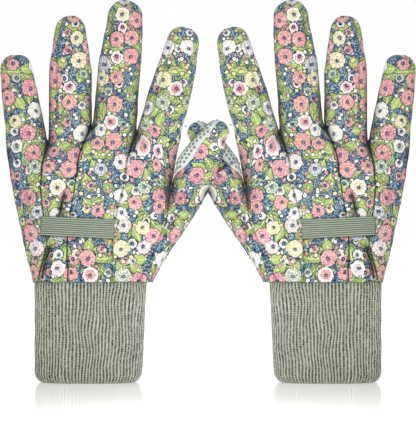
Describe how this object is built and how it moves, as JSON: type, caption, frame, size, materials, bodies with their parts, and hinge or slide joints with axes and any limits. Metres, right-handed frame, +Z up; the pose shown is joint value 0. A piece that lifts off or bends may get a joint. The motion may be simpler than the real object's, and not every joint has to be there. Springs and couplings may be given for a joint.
{
  "type": "gardening gloves",
  "caption": "Pair of cotton gardening gloves with printed backs, dotted palms, rib knit cuffs and an elastic wrist strap, standing on their cuffs.",
  "frame": {"origin": "middle of the pair, on the surface that the cuffs stand on", "axes": "+X from the left glove to the right glove, +Y from the backs of the hands to the palms, +Z up towards the fingertips"},
  "size_m": [0.2824, 0.032, 0.2605],
  "materials": {
    "printed_cotton": "matt woven cotton printed with flowers",
    "dotted_cotton": "matt woven cotton with raised PVC grip dots",
    "rib_knit": "matt rib knit",
    "elastic": "ribbed woven elastic",
    "tape": "overlocked cotton"
  },
  "bodies": {
    "left_hand": {"left_knit_cuff": "rib_knit", "left_wrist_seam": "tape", "left_pinky_back_panel": "printed_cotton", "left_ring_back_panel": "printed_cotton", "left_middle_back_panel": "printed_cotton", "left_index_back_panel": "printed_cotton", "left_thumb_back_panel": "printed_cotton", "left_palm": "dotted_cotton", "left_elastic_strap": "elastic"},
    "right_hand": {"right_knit_cuff": "rib_knit", "right_wrist_seam": "tape", "right_pinky_back_panel": "printed_cotton", "right_ring_back_panel": "printed_cotton", "right_middle_back_panel": "printed_cotton", "right_index_back_panel": "printed_cotton", "right_thumb_back_panel": "printed_cotton", "right_palm": "dotted_cotton", "right_elastic_strap": "elastic"},
    "left_pinky_base": {"left_pinky_base_back": "printed_cotton", "left_pinky_base_palm": "dotted_cotton"},
    "left_pinky_tip": {"left_pinky_tip_back": "printed_cotton", "left_pinky_tip_palm": "dotted_cotton"},
    "left_ring_base": {"left_ring_base_back": "printed_cotton", "left_ring_base_palm": "dotted_cotton"},
    "left_ring_tip": {"left_ring_tip_back": "printed_cotton", "left_ring_tip_palm": "dotted_cotton"},
    "left_middle_base": {"left_middle_base_back": "printed_cotton", "left_middle_base_palm": "dotted_cotton"},
    "left_middle_tip": {"left_middle_tip_back": "printed_cotton", "left_middle_tip_palm": "dotted_cotton"},
    "left_index_base": {"left_index_base_back": "printed_cotton", "left_index_base_palm": "dotted_cotton"},
    "left_index_tip": {"left_index_tip_back": "printed_cotton", "left_index_tip_palm": "dotted_cotton"},
    "left_thumb_base": {"left_thumb_base_back": "printed_cotton", "left_thumb_base_palm": "dotted_cotton"},
    "left_thumb_tip": {"left_thumb_tip_back": "printed_cotton", "left_thumb_tip_palm": "dotted_cotton"},
    "right_pinky_base": {"right_pinky_base_back": "printed_cotton", "right_pinky_base_palm": "dotted_cotton"},
    "right_pinky_tip": {"right_pinky_tip_back": "printed_cotton", "right_pinky_tip_palm": "dotted_cotton"},
    "right_ring_base": {"right_ring_base_back": "printed_cotton", "right_ring_base_palm": "dotted_cotton"},
    "right_ring_tip": {"right_ring_tip_back": "printed_cotton", "right_ring_tip_palm": "dotted_cotton"},
    "right_middle_base": {"right_middle_base_back": "printed_cotton", "right_middle_base_palm": "dotted_cotton"},
    "right_middle_tip": {"right_middle_tip_back": "printed_cotton", "right_middle_tip_palm": "dotted_cotton"},
    "right_index_base": {"right_index_base_back": "printed_cotton", "right_index_base_palm": "dotted_cotton"},
    "right_index_tip": {"right_index_tip_back": "printed_cotton", "right_index_tip_palm": "dotted_cotton"},
    "right_thumb_base": {"right_thumb_base_back": "printed_cotton", "right_thumb_base_palm": "dotted_cotton"},
    "right_thumb_tip": {"right_thumb_tip_back": "printed_cotton", "right_thumb_tip_palm": "dotted_cotton"}
  },
  "joints": [
    {"name": "right_glove_slide", "type": "slide", "parent": "left_hand", "child": "right_hand", "axis": [1, 0, 0], "range_m": [0, 0.06]},
    {"name": "left_pinky_base_fold", "type": "hinge", "parent": "left_hand", "child": "left_pinky_base", "pos_m": [-0.1241, 0.007, 0.1648], "axis": [-0.9919, 0, -0.1271], "range_deg": [0, 75]},
    {"name": "left_pinky_tip_fold", "type": "hinge", "parent": "left_pinky_base", "child": "left_pinky_tip", "pos_m": [-0.12778, 0.007, 0.19356], "axis": [-0.9919, 0, -0.1271], "range_deg": [0, 80]},
    {"name": "left_ring_base_fold", "type": "hinge", "parent": "left_hand", "child": "left_ring_base", "pos_m": [-0.0941, 0.0078, 0.1778], "axis": [-1, 0, 0], "range_deg": [0, 75]},
    {"name": "left_ring_tip_fold", "type": "hinge", "parent": "left_ring_base", "child": "left_ring_tip", "pos_m": [-0.0941, 0.0078, 0.2128], "axis": [-1, 0, 0], "range_deg": [0, 80]},
    {"name": "left_middle_base_fold", "type": "hinge", "parent": "left_hand", "child": "left_middle_base", "pos_m": [-0.0636, 0.0082, 0.1778], "axis": [-0.9969, 0, 0.0785], "range_deg": [0, 75]},
    {"name": "left_middle_tip_fold", "type": "hinge", "parent": "left_middle_base", "child": "left_middle_tip", "pos_m": [-0.06038, 0.0082, 0.21867], "axis": [-0.9969, 0, 0.0785], "range_deg": [0, 80]},
    {"name": "left_index_base_fold", "type": "hinge", "parent": "left_hand", "child": "left_index_base", "pos_m": [-0.0332, 0.008, 0.1703], "axis": [-0.974, 0, 0.2266], "range_deg": [0, 75]},
    {"name": "left_index_tip_fold", "type": "hinge", "parent": "left_index_base", "child": "left_index_tip", "pos_m": [-0.02504, 0.008, 0.20536], "axis": [-0.974, 0, 0.2266], "range_deg": [0, 80]},
    {"name": "left_thumb_base_fold", "type": "hinge", "parent": "left_hand", "child": "left_thumb_base", "pos_m": [-0.02145, 0, 0.15158], "axis": [0, -1, 0], "range_deg": [0, 12]},
    {"name": "left_thumb_tip_fold", "type": "hinge", "parent": "left_thumb_base", "child": "left_thumb_tip", "pos_m": [-0.00891, 0, 0.16625], "axis": [0, -1, 0], "range_deg": [0, 30]},
    {"name": "right_pinky_base_fold", "type": "hinge", "parent": "right_hand", "child": "right_pinky_base", "pos_m": [0.1241, 0.007, 0.1648], "axis": [-0.9919, 0, 0.1271], "range_deg": [0, 75]},
    {"name": "right_pinky_tip_fold", "type": "hinge", "parent": "right_pinky_base", "child": "right_pinky_tip", "pos_m": [0.12778, 0.007, 0.19356], "axis": [-0.9919, 0, 0.1271], "range_deg": [0, 80]},
    {"name": "right_ring_base_fold", "type": "hinge", "parent": "right_hand", "child": "right_ring_base", "pos_m": [0.0941, 0.0078, 0.1778], "axis": [-1, 0, 0], "range_deg": [0, 75]},
    {"name": "right_ring_tip_fold", "type": "hinge", "parent": "right_ring_base", "child": "right_ring_tip", "pos_m": [0.0941, 0.0078, 0.2128], "axis": [-1, 0, 0], "range_deg": [0, 80]},
    {"name": "right_middle_base_fold", "type": "hinge", "parent": "right_hand", "child": "right_middle_base", "pos_m": [0.0636, 0.0082, 0.1778], "axis": [-0.9969, 0, -0.0785], "range_deg": [0, 75]},
    {"name": "right_middle_tip_fold", "type": "hinge", "parent": "right_middle_base", "child": "right_middle_tip", "pos_m": [0.06038, 0.0082, 0.21867], "axis": [-0.9969, 0, -0.0785], "range_deg": [0, 80]},
    {"name": "right_index_base_fold", "type": "hinge", "parent": "right_hand", "child": "right_index_base", "pos_m": [0.0332, 0.008, 0.1703], "axis": [-0.974, 0, -0.2266], "range_deg": [0, 75]},
    {"name": "right_index_tip_fold", "type": "hinge", "parent": "right_index_base", "child": "right_index_tip", "pos_m": [0.02504, 0.008, 0.20536], "axis": [-0.974, 0, -0.2266], "range_deg": [0, 80]},
    {"name": "right_thumb_base_fold", "type": "hinge", "parent": "right_hand", "child": "right_thumb_base", "pos_m": [0.02145, 0, 0.15158], "axis": [0, 1, 0], "range_deg": [0, 12]},
    {"name": "right_thumb_tip_fold", "type": "hinge", "parent": "right_thumb_base", "child": "right_thumb_tip", "pos_m": [0.00891, 0, 0.16625], "axis": [0, 1, 0], "range_deg": [0, 30]}
  ]
}
